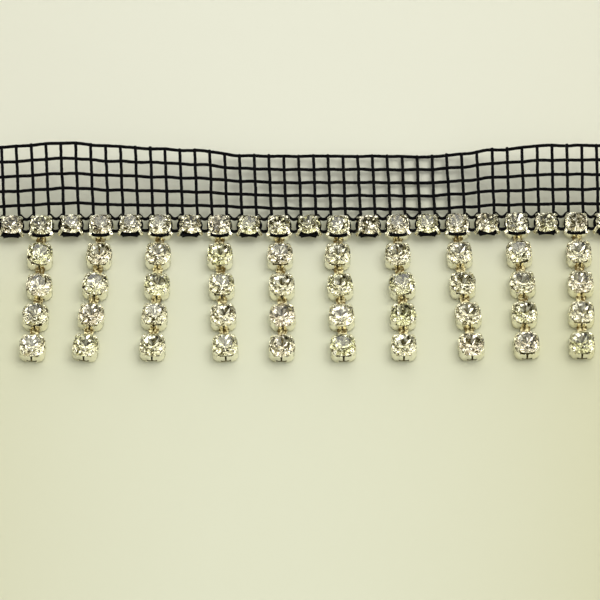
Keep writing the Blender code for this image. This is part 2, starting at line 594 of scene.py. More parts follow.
class GeometryTree(Tree):
    """A Geometry Nodes tree with named inputs."""

    def __init__(self, name: str) -> None:
        """Make the tree with a geometry input and output.

        Args:
            name: the tree's name.
        """
        super().__init__(bpy.data.node_groups.new(name, "GeometryNodeTree"))
        face = self.tree.interface
        face.new_socket("Geometry", in_out="INPUT", socket_type="NodeSocketGeometry")
        face.new_socket("Geometry", in_out="OUTPUT", socket_type="NodeSocketGeometry")
        self.group_in = self.tree.nodes.new("NodeGroupInput")
        self.names: dict[str, str] = {}

    def given(self, name: str, kind: str) -> Wire:
        """Add a named input.

        Args:
            name: the input's name.
            kind: the last part of its socket type, such as Float.

        Returns:
            The input as a wire.
        """
        socket = self.tree.interface.new_socket(
            name, in_out="INPUT", socket_type=f"NodeSocket{kind}"
        )
        self.names[name] = socket.identifier
        return Wire(self, self.group_in.outputs[name])

    def geometry(self) -> Wire:
        """The geometry that the modifier is given."""
        return Wire(self, self.group_in.outputs["Geometry"])

    def attribute(self, name: str, kind: str = "FLOAT") -> Wire:
        """Read a named attribute."""
        return self.add("GeometryNodeInputNamedAttribute", {"data_type": kind}, {"Name": name})

    def end(self, geometry: Wire) -> None:
        """Send the geometry out of the tree."""
        self.make("NodeGroupOutput", {}, {0: geometry})

    def run(self, obj: bpy.types.Object, name: str, values: dict) -> bpy.types.Object:
        """Run the tree on an object and keep the result as a plain mesh.

        Args:
            obj: the object that the tree starts from.
            name: the finished object's name.
            values: the inputs by name.

        Returns:
            The finished object.
        """
        modifier = obj.modifiers.new(self.tree.name, "NODES")
        modifier.node_group = self.tree
        for key, value in values.items():
            modifier[self.names[key]] = value
        return MeshMaker.bake(obj, name)


class Setter:
    """Sets one copy of a template on each place, a little turned and tilted."""

    def __init__(self) -> None:
        """Build the tree."""
        tree = GeometryTree("set_on_places")
        template = tree.given("Template", "Object")
        tilt = tree.given("Tilt", "Float")
        twist = tree.given("Twist", "Float")
        seed = tree.given("Seed", "Int")
        face = tree.given("Face finish", "Material")
        back = tree.given("Back finish", "Material")
        shape = tree.add("GeometryNodeObjectInfo", {}, {"Object": template}, "Geometry")
        most = tree.add("ShaderNodeCombineXYZ", {}, {0: tilt, 1: tilt, 2: twist})
        least = tree.add(
            "ShaderNodeVectorMath", {"operation": "SCALE"}, {0: most, "Scale": -1.0}
        )
        chance = tree.add(
            "FunctionNodeRandomValue",
            {"data_type": "FLOAT_VECTOR"},
            {0: least, 1: most, "Seed": seed},
        )
        turn = tree.add(
            "ShaderNodeVectorMath",
            {"operation": "ADD"},
            {0: tree.attribute("turn", "FLOAT_VECTOR"), 1: chance},
        )
        placed = tree.add(
            "GeometryNodeInstanceOnPoints",
            {},
            {
                "Points": tree.geometry(),
                "Instance": shape,
                "Rotation": tree.add("FunctionNodeEulerToRotation", {}, {0: turn}),
            },
        )
        real = tree.add("GeometryNodeRealizeInstances", {}, {"Geometry": placed})
        faced = tree.add("GeometryNodeSetMaterial", {}, {"Geometry": real, "Material": face})
        backed = tree.add(
            "GeometryNodeSetMaterial",
            {},
            {
                "Geometry": faced,
                "Selection": tree.attribute("back", "BOOLEAN"),
                "Material": back,
            },
        )
        tree.end(backed)
        self.tree = tree

    def place(
        self,
        name: str,
        places: Sequence["Place"],
        template: bpy.types.Object,
        finishes: tuple[bpy.types.Material, bpy.types.Material],
        wobble: tuple[float, float] = (0.0, 0.0),
        seed: int = 1,
    ) -> bpy.types.Object:
        """Set the template on every place.

        Args:
            name: the finished piece's name.
            places: where the copies go.
            template: the shape, which is removed at the end.
            finishes: the finish of the front and of the faces marked as back.
            wobble: the most tilt and twist, in degrees.
            seed: the seed of the tilt and twist.

        Returns:
            The finished piece.
        """
        mesh = bpy.data.meshes.new(name)
        mesh.from_pydata([tuple(place.spot * MM) for place in places], [], [])
        turn = mesh.attributes.new("turn", "FLOAT_VECTOR", "POINT")
        for item, place in zip(turn.data, places):
            item.vector = (0.0, 0.0, place.heading)
        values = {
            "Template": template,
            "Tilt": math.radians(wobble[0]),
            "Twist": math.radians(wobble[1]),
            "Seed": seed,
            "Face finish": finishes[0],
            "Back finish": finishes[1],
        }
        return self.tree.run(put(name + "_points", mesh), name, values)


@dataclass(frozen=True)
class Place:
    """A spot on the trim in millimetres and the turn of what is set there."""

    spot: Vector
    heading: float = 0.0


@dataclass
class Layout:
    """Places of the settings and cups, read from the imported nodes."""

    stones: int = 21
    drops: int = 10
    cups: int = 4
    table_depth: float = 0.02
    table_share: float = 0.6
    slack: float = 0.01
    row: list[Place] = field(default_factory=list)
    chains: list[list[Place]] = field(default_factory=list)

    def read(self, nodes: dict[str, bpy.types.Object]) -> "Layout":
        """Fill in the places.

        Args:
            nodes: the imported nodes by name.

        Returns:
            This layout.
        """
        for name in self.setting_names():
            low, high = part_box(name)
            middle = (low + high) / 2 / MM
            self.row.append(Place(Vector((middle.x, middle.y, 0.0))))
        for number, name in enumerate(self.drop_names()):
            above = self.row[2 * number + 1].spot
            chain = []
            for spot in self._cup_spots(nodes[name]):
                way = above - spot
                chain.append(Place(spot, math.atan2(-way.x, way.y)))
                above = spot
            self.chains.append(chain)
        return self

    def _cup_spots(self, node: bpy.types.Object) -> list[Vector]:
        """Find the middles of a drop's cups by the flat tops of their stones.

        Args:
            node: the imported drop.

        Returns:
            The cups' middles on the floor, from the row down.
        """
        points = [vert.co / MM for vert in node.data.vertices]
        top = max(point.z for point in points)
        tables = [point for point in points if point.z > top - self.table_depth]
        edge = max(p.y for p in tables)
        spread = (edge - min(p.y for p in tables)) / (self.cups - self.table_share)
        spots = []
        for index in range(self.cups):
            low = edge - spread * self.table_share
            near = [p for p in tables if low < p.y <= edge + self.slack]
            xs = [p.x for p in near]
            ys = [p.y for p in near]
            spots.append(Vector(((min(xs) + max(xs)) / 2, (min(ys) + max(ys)) / 2, 0.0)))
            below = [p.y for p in tables if p.y < min(ys) - self.slack]
            edge = max(below) if below else edge
        return spots

    def kind(self, index: int) -> StoneKind:
        """Say whether a stone of the row, counted from 0, carries a drop."""
        return StoneKind.HANGING if index % 2 else StoneKind.PLAIN

    def of_kind(self, kind: StoneKind) -> list[Place]:
        """The row's places that have this kind of setting."""
        return [place for index, place in enumerate(self.row) if self.kind(index) is kind]

    def setting_names(self) -> list[str]:
        """Names of the row's nodes."""
        return [f"setting_{index + 1:02d}" for index in range(self.stones)]

    def drop_names(self) -> list[str]:
        """Names of the drops' nodes."""
        return [f"drop_{index + 1:02d}" for index in range(self.drops)]


@dataclass(frozen=True)
class Crystal:
    """A foil-backed cut stone: an eight-sided table, kite and girdle facets, and a pointed back."""

    girdle: float
    table: float
    girdle_low: float
    girdle_high: float
    table_height: float
    culet_height: float
    star: float = 0.4
    keel: float = 0.74
    squareness: float = 0.055

    def template(self, name: str) -> bpy.types.Object:
        """Build the stone.

        Args:
            name: the object's name.

        Returns:
            The stone, its back facets marked.
        """
        bm = bmesh.new()
        back = bm.faces.layers.bool.new("back")
        rim_high = self._ring(bm, 2 * SIDES, self.girdle, self.girdle_high, 0.0)
        rim_low = self._ring(bm, 2 * SIDES, self.girdle, self.girdle_low, 0.0)
        table = self._ring(bm, SIDES, self.table, self.table_height, 0.0)
        rise = (self.table_height - self.girdle_high) / (self.girdle - self.table)
        tip = self.table + (self.girdle - self.table) * self.star
        lean = tip * math.cos(math.pi / SIDES)
        tips = self._ring(bm, SIDES, tip, self.table_height - (lean - self.table) * rise, 0.5)
        fall = (self.girdle_low - self.culet_height) / self.girdle
        keel = self.girdle * self.keel
        depth = self.culet_height + keel * math.cos(math.pi / SIDES) * fall
        keels = self._ring(bm, SIDES, keel, depth, 0.5)
        culet = bm.verts.new((0.0, 0.0, self.culet_height))
        bm.faces.new(table)
        for step in range(SIDES):
            before, after = (step - 1) % SIDES, (step + 1) % SIDES
            point, left, right = 2 * step, (2 * step - 1) % (2 * SIDES), 2 * step + 1
            bm.faces.new((table[step], tips[step], table[after]))
            bm.faces.new((table[step], tips[before], rim_high[point], tips[step]))
            bm.faces.new((tips[before], rim_high[left], rim_high[point]))
            bm.faces.new((tips[step], rim_high[point], rim_high[right]))
            for face in (
                bm.faces.new((culet, keels[step], rim_low[point], keels[before])),
                bm.faces.new((keels[before], rim_low[point], rim_low[left])),
                bm.faces.new((keels[step], rim_low[right], rim_low[point])),
            ):
                face[back] = True
        for step in range(2 * SIDES):
            after = (step + 1) % (2 * SIDES)
            face = bm.faces.new((rim_low[step], rim_low[after], rim_high[after], rim_high[step]))
            face[back] = True
        bmesh.ops.recalc_face_normals(bm, faces=bm.faces)
        return MeshMaker.to_object(name, bm)

    def _ring(
        self, bm: bmesh.types.BMesh, count: int, radius: float, height: float, shift: float
    ) -> list[bmesh.types.BMVert]:
        """Make a ring of points, a little square.

        Args:
            bm: the stone's bmesh.
            count: how many points.
            radius: the ring's radius.
            height: the ring's height.
            shift: how many steps the ring is turned by.

        Returns:
            The points.
        """
        points = []
        for index in range(count):
            turn = 2 * math.pi * (index + shift) / count
            reach = radius * (1 - self.squareness * math.cos(4 * turn))
            points.append(bm.verts.new((reach * math.cos(turn), reach * math.sin(turn), height)))
        return points


@dataclass(frozen=True)
class Ring:
    """One level of a pressed setting, and the band of metal from it up to the next level."""

    radius: float
    height: float
    band: Band = Band.WHOLE
    pinch: float = 1.0
    slit: float = 4.0


@dataclass(frozen=True)
class PressedSetting:
    """Sheet metal drawn into a cup or plate, with slits, petals and claws over the stone.

    Angles are in degrees. Faces that look inwards, and the cup's inner floor, are marked as back.
    """

    rings: tuple[Ring, ...]
    edges: tuple[float, ...]
    claw_middle: float
    claw_half: float
    slit_half: float = 4.0
    slot_half: float = 21.0
    gauge: float = 0.18
    squareness: float = 0.085
    flute: float = 0.07
    flute_away: float = 23.0
    flute_half: float = 2.0
    edge_share: float = 0.22
    edge_angle: float = 50.0
    sharp_angle: float = 38.0
    floor_height: float = 0.6
    floor_radius: float = 2.42
    floor_facing: float = 0.5
    back_facing: float = -0.3

    def template(self, name: str) -> bpy.types.Object:
        """Build the setting.

        Args:
            name: the object's name.

        Returns:
            The setting as a closed shell.
        """
        angles = self._angles()
        bm = bmesh.new()
        levels = [[self._point(bm, ring, angle) for angle in angles] for ring in self.rings]
        for lower, upper, ring in zip(levels, levels[1:], self.rings):
            for column, angle in enumerate(angles):
                after = (column + 1) % len(angles)
                width = (angles[after] - angle) % 360
                if self._covers(ring.band, (angle + width / 2) % 360):
                    bm.faces.new((lower[column], lower[after], upper[after], upper[column]))
        bmesh.ops.remove_doubles(bm, verts=bm.verts, dist=1e-3)
        loose = [vert for vert in bm.verts if not vert.link_faces]
        bmesh.ops.delete(bm, geom=loose, context="VERTS")
        sheet = MeshMaker.to_object(name + "_sheet", bm)
        thicken = sheet.modifiers.new("gauge", "SOLIDIFY")
        thicken.thickness = self.gauge * MM
        thicken.offset = -1.0
        soften = sheet.modifiers.new("edge", "BEVEL")
        soften.width = self.gauge * self.edge_share * MM
        soften.segments = 1
        soften.limit_method = "ANGLE"
        soften.angle_limit = math.radians(self.edge_angle)
        shell = MeshMaker.bake(sheet, name)
        shell.data.polygons.foreach_set("use_smooth", [True] * len(shell.data.polygons))
        shell.data.set_sharp_from_angle(angle=math.radians(self.sharp_angle))
        self._mark_back(shell.data)
        return shell

    def _mark_back(self, mesh: bpy.types.Mesh) -> None:
        """Mark the faces that get the cup's inside finish, which paints shade into the hollow.

        Args:
            mesh: the shell, in metres.
        """
        top = (self.rings[0].height + self.floor_height) * MM
        marks = mesh.attributes.new("back", "BOOLEAN", "FACE")
        for mark, face in zip(marks.data, mesh.polygons):
            outward = face.normal.xy.dot(face.center.xy.normalized())
            near = face.center.z < top and face.center.xy.length < self.floor_radius * MM
            floor = near and face.normal.z > self.floor_facing
            # Inward faces and the inner floor take the painted shade of the hollow.
            mark.value = outward < self.back_facing or floor

    def _angles(self) -> list[float]:
        """Mirror the column edges of one quarter round the circle.

        Returns:
            The angles, in order.
        """
        turned = set()
        for edge in self.edges:
            turned |= {edge % 360, (180 - edge) % 360, (180 + edge) % 360, (360 - edge) % 360}
        return sorted(turned)

    def _point(self, bm: bmesh.types.BMesh, ring: Ring, angle: float) -> bmesh.types.BMVert:
        """Make one point of the sheet.

        A claw's points are drawn to its middle by the ring's pinch, and a slit's edges lie as far
        apart as the ring says. Petals are fluted between slit and claw.

        Args:
            bm: the sheet's bmesh.
            ring: the point's level.
            angle: the column's angle.

        Returns:
            The point.
        """
        quarter = angle // 90
        inside = angle % 90
        middle = self.claw_middle if quarter % 2 == 0 else 90 - self.claw_middle
        away = inside - middle
        if abs(away) <= self.claw_half + ANGLE_SLACK:
            angle = quarter * 90 + middle + away * ring.pinch
        elif abs(inside - self.slit_half) < ANGLE_SLACK:
            angle = quarter * 90 + ring.slit
        elif abs(90 - inside - self.slit_half) < ANGLE_SLACK:
            angle = quarter * 90 + 90 - ring.slit
        turn = math.radians(angle)
        radius = ring.radius * (1 - self.squareness * math.cos(4 * turn))
        if ring.band is Band.PETALS and abs(abs(inside - 45) - self.flute_away) < self.flute_half:
            radius *= 1 - self.flute
        return bm.verts.new((radius * math.cos(turn), radius * math.sin(turn), ring.height))

    def _covers(self, band: Band, angle: float) -> bool:
        """Say whether a band of metal covers an angle.

        Args:
            band: the kind of band.
            angle: the angle in degrees.

        Returns:
            True where there is metal.
        """
        from_x = min(angle % 180, 180 - angle % 180)
        from_y = 90 - from_x
        if band is Band.PETALS:
            return min(from_x, from_y) > self.slit_half
        if band is Band.SLOTTED:
            return from_y > self.slot_half
        if band is Band.CLAWS:
            return abs(from_x - self.claw_middle) < self.claw_half
        return True


@dataclass
class ChainDrops:
    """The ten drops: silver-plated cups, their crystals and links of worn brass."""

    layout: Layout
    edges: tuple[float, ...] = (-4, 4, 13, 22, 33, 39, 45, 51, 57, 68, 77, 86)
    link_wide: float = 1.8
    link_low: float = 0.44
    link_thick: float = 0.24
    link_half: float = 1.95
    head_turn: float = 70.0
    head_wide: float = 0.68
    head_long: float = 0.45
    neck_wide: float = 0.5
    neck_at: float = 0.9
    waist_wide: float = 0.42
    stone: Crystal = Crystal(
        girdle=2.34,
        table=1.34,
        girdle_low=2.3,
        girdle_high=2.42,
        table_height=3.5,
        culet_height=0.6,
    )

    def rings(self) -> tuple[Ring, ...]:
        """Levels of a chain cup, from the middle of its back up.

        Returns:
            The levels.
        """
        return (
            Ring(0.0, 0.05),
            Ring(1.0, 0.03),
            Ring(2.1, 0.03),
            Ring(2.44, 0.06, Band.SLOTTED),
            Ring(2.54, 0.2, Band.SLOTTED),
            Ring(2.56, 0.74, Band.PETALS, slit=3.0),
            Ring(2.54, 1.5, Band.PETALS, slit=3.6),
            Ring(2.38, 2.02, Band.CLAWS, slit=5.0),
            Ring(2.44, 2.3, Band.CLAWS, 0.95),
            Ring(2.4, 2.56, Band.CLAWS, 0.88),
            Ring(2.2, 2.82, Band.CLAWS, 0.8),
            Ring(1.96, 3.0, Band.CLAWS, 0.7),
            Ring(1.74, 3.14, Band.CLAWS, 0.45),
        )

    def build(self, setter: Setter, finishes: "Finishes") -> list[bpy.types.Object]:
        """Build the drops' pieces.

        Args:
            setter: sets the templates on their places.
            finishes: the materials.

        Returns:
            The cups, crystals and links.
        """
        places = [place for chain in self.layout.chains for place in chain]
        cup = PressedSetting(self.rings(), self.edges, claw_middle=45, claw_half=12)
        cups = setter.place(
            # The inside finish paints shade into each cup's hollow.
            "drop_cups", places, cup.template("chain_cup"), (finishes.silver, finishes.inside)
        )
        stones = setter.place(
            "drop_crystals",
            places,
            self.stone.template("chain_crystal"),
            (finishes.glass, finishes.foil),
            wobble=(3.5, 20.0),
            seed=5,
        )
        links = setter.place(
            "drop_links",
            self._link_places(),
            self._link_template(),
            (finishes.brass, finishes.brass),
        )
        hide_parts(*self.layout.drop_names())
        return [cups, stones, links]

    def _link_places(self) -> list[Place]:
        """Find the middle of each link.

        Returns:
            A place between each cup and what it hangs from.
        """
        places = []
        for number, chain in enumerate(self.layout.chains):
            above = self.layout.row[2 * number + 1].spot
            for place in chain:
                places.append(Place((place.spot + above) / 2, place.heading))
                above = place.spot
        return places

    def _link_template(self) -> bpy.types.Object:
        """Build a link: a flat strap that widens to a rounded head inside each cup.

        Returns:
            The link.
        """
        bm = bmesh.new()
        outline = []
        for side in (1, -1):
            for step in range(HEAD_STEPS + 1):
                turn = math.radians(self.head_turn * (2 * step / HEAD_STEPS - 1))
                across = math.sin(turn) * self.link_wide * self.head_wide
                along = self.link_half + (math.cos(turn) - 1) * self.head_long
                outline.append((-across * side, along * side))
            outline.append((-self.link_wide * self.neck_wide * side, self.neck_at * side))
            outline.append((-self.link_wide * self.waist_wide * side, 0.0))
        face = bm.faces.new([bm.verts.new((x, y, self.link_low)) for x, y in outline])
        raised = bmesh.ops.extrude_face_region(bm, geom=[face])["geom"]
        lifted = [item for item in raised if isinstance(item, bmesh.types.BMVert)]
        bmesh.ops.translate(bm, vec=(0, 0, self.link_thick), verts=lifted)
        bmesh.ops.recalc_face_normals(bm, faces=bm.faces)
        return MeshMaker.to_object("chain_link", bm)


@dataclass
class StoneRow:
    """The row along the net: crystals in claw settings, every second one over a chain cup."""

    layout: Layout
    edges: tuple[float, ...] = (-4, 4, 12, 21, 30, 35, 40, 45, 50, 59, 68, 77, 86)
    stone: Crystal = Crystal(
        girdle=2.07,
        table=1.2,
        girdle_low=2.28,
        girdle_high=2.4,
        table_height=3.42,
        culet_height=1.15,
    )

    @staticmethod
    def head(kind: StoneKind) -> tuple[Ring, ...]:
        """Levels of the part above the net: four legs that bend over the stone as its claws.

        Args:
            kind: a stone that carries a drop has a collar round it as well.

        Returns:
            The levels, from the net up.
        """
        collar = (Ring(2.14, 1.98), Ring(2.1, 2.26, Band.CLAWS))
        legs = (Ring(2.5, 2.18, Band.CLAWS, 0.68),)
        return (
            Ring(2.84, 1.5, Band.CLAWS, 0.62),
            Ring(2.72, 1.84, Band.CLAWS, 0.62),
            *(collar if kind is StoneKind.HANGING else legs),
            Ring(2.3, 2.5, Band.CLAWS, 0.78),
            Ring(2.08, 2.8, Band.CLAWS, 0.84),
            Ring(1.82, 3.02, Band.CLAWS, 0.78),
            Ring(1.58, 3.16, Band.CLAWS, 0.5),
        )

    def plate(self) -> tuple[Ring, ...]:
        """Levels of a plain setting's back plate.

        Returns:
            The levels.
        """
        return (
            Ring(0.0, 1.02),
            Ring(1.2, 1.02),
            Ring(1.9, 1.04),
            Ring(2.05, 1.1, Band.CLAWS),
            Ring(2.5, 1.28, Band.CLAWS, 0.8),
        )

    def cup(self) -> tuple[Ring, ...]:
        """Levels of the chain cup under a stone that carries a drop.

        Returns:
            The levels.
        """
        return (
            Ring(0.0, 0.05),
            Ring(1.0, 0.04),
            Ring(2.0, 0.04),
            Ring(2.42, 0.07, Band.SLOTTED),
            Ring(2.52, 0.2, Band.SLOTTED),
            Ring(2.5, 0.75, Band.PETALS, slit=3.0),
            Ring(2.3, 1.5, Band.CLAWS),
        )

    def build(self, setter: Setter, finishes: "Finishes") -> list[bpy.types.Object]:
        """Build the row's pieces.

        Args:
            setter: sets the templates on their places.
            finishes: the materials.

        Returns:
            The plain settings, the settings with a chain cup, and the crystals.
        """
        made = []
        feet = {StoneKind.PLAIN: self.plate(), StoneKind.HANGING: self.cup()}
        for kind, foot in feet.items():
            setting = PressedSetting(
                foot + self.head(kind), self.edges, claw_middle=40, claw_half=10, squareness=0.05
            )
            piece = setter.place(
                f"row_settings_{kind.value}",
                self.layout.of_kind(kind),
                setting.template(f"{kind.value}_setting"),
                # The inside finish paints shade into the hollow of each setting.
                (finishes.silver, finishes.inside),
                wobble=(0.4, 2.0),
                seed=3,
            )
            names = self.layout.setting_names()
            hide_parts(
                *[n for i, n in enumerate(names) if self.layout.kind(i) is kind]
            )
            made.append(piece)
        made.append(
            setter.place(
                "row_crystals",
                self.layout.row,
                self.stone.template("row_crystal"),
                (finishes.glass, finishes.foil),
                wobble=(3.5, 20.0),
                seed=8,
            )
        )
        return made


@dataclass(frozen=True)
class Station:
    """How the net lies at one place along the trim."""

    along: float
    shift: float
    first: float
    top: float
    lean: float


@dataclass(frozen=True)
class NetTab:
    """The tab under one kind of stone, and the bow of the two threads that run behind it."""

    bow: float
    shift: float
    dip: float
    slim: float
    bulge: float


@dataclass(frozen=True)
class RowBar:
    """One of the two bars that hang between the stones of the row."""

    across: float
    rise: float
    reach: float
    sink: float
    thick: float
    droop: float = 0.08
    uneven: float = 0.1
    sink_from: float = 0.5
    sink_over: float = 0.4
    level_to: float = 0.8
    most_rise: float = 1.6


@dataclass
class SewingNet:
    """The black net: threads across and along the trim, and the short tabs under the stones."""

    layout: Layout
    pitch: float = 5.4
    middle: Vector = field(default_factory=lambda: Vector((0.35, 5.9, 0.0)))
    level: float = 1.82
    bars: float = 1.1
    first: float = 3.85
    spacing: float = 2.75
    free_threads: int = 5
    flat_to: float = 2.2
    tab: float = 2.08
    tab_half: float = 1.4
    knob_from: float = 0.5
    knob_turn: float = math.pi * 0.6
    bow_past: float = 0.5
    warp_past: float = 0.25
    warp_lift: float = 0.1
    warp_start: float = 0.05
    warp_keep: float = 0.8
    warp_sway: float = 0.03
    warp_uneven: tuple[float, float] = (-0.07, 0.09)
    weft_lift: float = 0.08
    weft_keep: float = 0.86
    weft_sway: float = 0.032
    weft_thick: float = 0.95
    weft_uneven: tuple[float, float] = (-0.07, 0.08)
    swell: float = 0.3
    swell_at: float = 2.3
    swell_reach: float = 1.2
    step: float = 0.45
    fine: float = 0.7
    thread: float = 0.345
    thread_sides: int = 8
    oval: float = 0.82
    fuzz: float = 0.05
    lumps: float = 2600.0
    cover: float = 0.56
    seed: int = 11
    row_bars: tuple[RowBar, ...] = (
        RowBar(across=-1.2, rise=0.4, reach=1.0, sink=0.3, thick=1.22),
        RowBar(across=1.3, rise=0.54, reach=1.35, sink=0.0, thick=1.36),
    )
    tabs: dict[StoneKind, NetTab] = field(
        default_factory=lambda: {
            StoneKind.PLAIN: NetTab(bow=0.74, shift=-0.1, dip=-0.22, slim=0.5, bulge=0.86),
            StoneKind.HANGING: NetTab(bow=0.66, shift=0.2, dip=0.22, slim=0.16, bulge=0.8),
        }
    )
    stations: tuple[Station, ...] = (
        Station(along=-57.0, shift=-0.25, first=2.3, top=4.8, lean=-0.72),
        Station(along=-43.0, shift=0.0, first=3.2, top=5.9, lean=-0.7),
        Station(along=-36.0, shift=0.0, first=2.7, top=4.8, lean=-0.66),
        Station(along=-28.0, shift=0.0, first=2.4, top=4.0, lean=-0.62),
        Station(along=-20.0, shift=-0.05, first=2.3, top=3.3, lean=-0.58),
        Station(along=-12.0, shift=-0.1, first=1.9, top=1.5, lean=-0.54),
        Station(along=-4.0, shift=-0.1, first=1.25, top=1.25, lean=-0.5),
        Station(along=9.0, shift=-0.1, first=1.25, top=1.25, lean=-0.5),
        Station(along=22.0, shift=0.1, first=0.8, top=0.7, lean=-0.36),
        Station(along=28.0, shift=0.2, first=1.3, top=1.4, lean=-0.3),
        Station(along=34.0, shift=0.35, first=1.9, top=2.9, lean=-0.2),
        Station(along=44.0, shift=0.45, first=2.15, top=4.2, lean=-0.1),
        Station(along=57.0, shift=0.45, first=2.15, top=4.4, lean=0.0),
    )

    def build(self, finishes: "Finishes") -> bpy.types.Object:
        """Build the net.

        Args:
            finishes: the materials.

        Returns:
            The net's threads as one piece.
        """
        chance = random.Random(self.seed)
        bm = bmesh.new()
        thick = bm.verts.layers.float.new("thick")
        for index in range(self.layout.stones):
            for side in (-1, 1):
                self._lay(bm, thick, self._warp(index, side, chance))
            self._lay(bm, thick, self._tab_points(index))
        for number, line in enumerate(self._wefts()):
            if number < len(self.row_bars):
                for window in range(self.layout.stones + 1):
                    self._lay(bm, thick, self._bar(window, number, chance))
            else:
                self._lay(bm, thick, self._weft(number, line, chance))
        paths = MeshMaker.to_object("net_paths", bm)
        net = self._thread_tree().run(
            paths,
            "net_threads",
            {
                "Thread radius": self.thread * MM,
                "Step": self.step * self.fine * MM,
                "Fuzz": self.fuzz * MM,
                "Finish": finishes.thread,
            },
        )
        long = self.layout.stones * self.pitch
        wide = self.first + self.spacing * (self.free_threads - 1) + self.tab
        wide * MM
        self.cover * long * wide * MM * MM
        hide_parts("net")
        return net

    def _wefts(self) -> list[float]:
        """The Y of each thread along the trim, from the lower bar of the row up."""
        free = [self.first + self.spacing * row for row in range(self.free_threads)]
        return [-self.bars, self.bars] + free

    def _lie(self, along: float) -> Station:
        """Find how the net lies at a place.

        Args:
            along: the place along the trim.

        Returns:
            The station there, eased between the two beside it.
        """
        along = min(max(along, self.stations[0].along), self.stations[-1].along)
        for before, after in zip(self.stations, self.stations[1:]):
            if along <= after.along:
                break
        share = (along - before.along) / (after.along - before.along)
        bend = (1 - math.cos(math.pi * share)) / 2
        values = [
            getattr(before, key) + (getattr(after, key) - getattr(before, key)) * bend
            for key in ("shift", "first", "top", "lean")
        ]
        return Station(along, *values)

    def _spot(self, along: float, across: float) -> Vector:
        """Bend a point of the flat net to its waves.

        Args:
            along: the point's place along the trim.
            across: its place across the trim, from the row.

        Returns:
            The point in the row frame, in millimetres.
        """
        lie = self._lie(along)
        top = self._wefts()[-1]
        if across <= self.flat_to:
            height = self.level
        elif across <= self.first:
            share = (across - self.flat_to) / (self.first - self.flat_to)
            bend = (1 - math.cos(math.pi * share)) / 2
            height = self.level + (lie.first - self.level) * bend
        else:
            share = (across - self.first) / (top - self.first)
            height = lie.first + (lie.top - lie.first) * share
        lean = lie.lean * max(0.0, across - self.flat_to) / (top - self.flat_to)
        return self.middle + Vector((along + lean, across + lie.shift, height))

    def _warp(self, index: int, side: int, chance: random.Random) -> list[tuple[Vector, float]]:
        """Lay one thread across the trim, from its tab's knob to the sewing edge.

        Args:
            index: the stone that the thread runs behind.
            side: -1 left or 1 right of the stone.
            chance: the net's random numbers.

        Returns:
            Points and their thickness.
        """
        stone = self.pitch * (index - (self.layout.stones - 1) / 2)
        bow = self.tabs[self.layout.kind(index)].bow
        reach = self.bars + self.bow_past
        top = self._wefts()[-1] + self.warp_past
        count = round((top + self.tab) / self.step)
        drift = chance.uniform(-self.warp_start, self.warp_start)
        points = []
        for step in range(count + 1):
            across = -self.tab + (top + self.tab) * step / count
            along = stone + side * self.pitch / 4
            if abs(across) < reach:
                along += side * bow * math.cos(across / reach * math.pi / 2)
            if across > self.flat_to:
                drift = self.warp_keep * drift + chance.uniform(-self.warp_sway, self.warp_sway)
                along += drift
            spot = self._spot(along, across)
            spot.z += self._weave(across, index + (side > 0))
            swell = self.swell * max(0.0, 1 - abs(across - self.swell_at) / self.swell_reach)
            points.append((spot, 1.0 + swell + chance.uniform(*self.warp_uneven)))
        return points

    def _weave(self, across: float, parity: int) -> float:
        """Lift a thread over every second thread that it crosses.

        Args:
            across: the place across the trim.
            parity: odd or even, by the thread.

        Returns:
            The lift in millimetres.
        """
        if across < self.flat_to:
            return 0.0
        turn = (across - self.first) / self.spacing
        return self.warp_lift * math.cos(math.pi * turn) * (1 if parity % 2 else -1)

    def _weft(self, number: int, line: float, chance: random.Random) -> list[tuple[Vector, float]]:
        """Lay one thread along the trim.

        Args:
            number: the thread, counted from the row's lower bar.
            line: its place across the trim.
            chance: the net's random numbers.

        Returns:
            Points and their thickness.
        """
        half = self.layout.stones * self.pitch / 2
        count = round(2 * half / self.step)
        drift = 0.0
        points = []
        for step in range(count + 1):
            along = -half + 2 * half * step / count
            drift = self.weft_keep * drift + chance.uniform(-self.weft_sway, self.weft_sway)
            spot = self._spot(along, line + drift)
            turn = (along / self.pitch * 2 - 0.5) * math.pi
            spot.z -= self.weft_lift * math.cos(turn) * (1 if number % 2 else -1)
            points.append((spot, self.weft_thick + chance.uniform(*self.weft_uneven)))
        return points

    def _bar(self, window: int, number: int, chance: random.Random) -> list[tuple[Vector, float]]:
        """Hang one bar of the row in the window between two stones.

        Its ends rise to the stones beside it, and those of the lower bar lie deeper, under the
        claws.

        Args:
            window: the window, counted from the one cut through at the trim's left end.
            number: 0 for the lower bar and 1 for the upper bar.
            chance: the net's random numbers.

        Returns:
            Points and their thickness.
        """
        bar = self.row_bars[number]
        middle = self.pitch * (window - self.layout.stones / 2)
        first = 0.0 if window == 0 else -bar.reach
        last = 0.0 if window == self.layout.stones else bar.reach
        droop = chance.uniform(-bar.droop, bar.droop)
        points = []
        for step in range(BAR_STEPS + 1):
            offset = first + (last - first) * step / BAR_STEPS
            rise = min((offset / bar.level_to) ** 2, bar.most_rise)
            across = bar.across + bar.rise * rise + droop * (1 - rise / bar.most_rise)
            spot = self._spot(middle + offset, across)
            spot.z -= bar.sink * min(max(abs(offset) - bar.sink_from, 0.0) / bar.sink_over, 1.0)
            points.append((spot, bar.thick + chance.uniform(-bar.uneven, bar.uneven)))
        return points

    def _tab_points(self, index: int) -> list[tuple[Vector, float]]:
        """Lay the short tab under a stone, with a knob at each end.

        Args:
            index: the stone.

        Returns:
            Points and their thickness.
        """
        stone = self.pitch * (index - (self.layout.stones - 1) / 2)
        tab = self.tabs[self.layout.kind(index)]
        points = []
        for step in range(2 * TAB_STEPS + 1):
            share = step / TAB_STEPS - 1
            across = tab.shift - self.tab - tab.dip * (1 - share * share)
            knob = max(0.0, abs(share) - self.knob_from) / (1 - self.knob_from)
            spot = self._spot(stone + share * self.tab_half, across)
            points.append((spot, tab.slim + tab.bulge * math.sin(knob * self.knob_turn)))
        return points

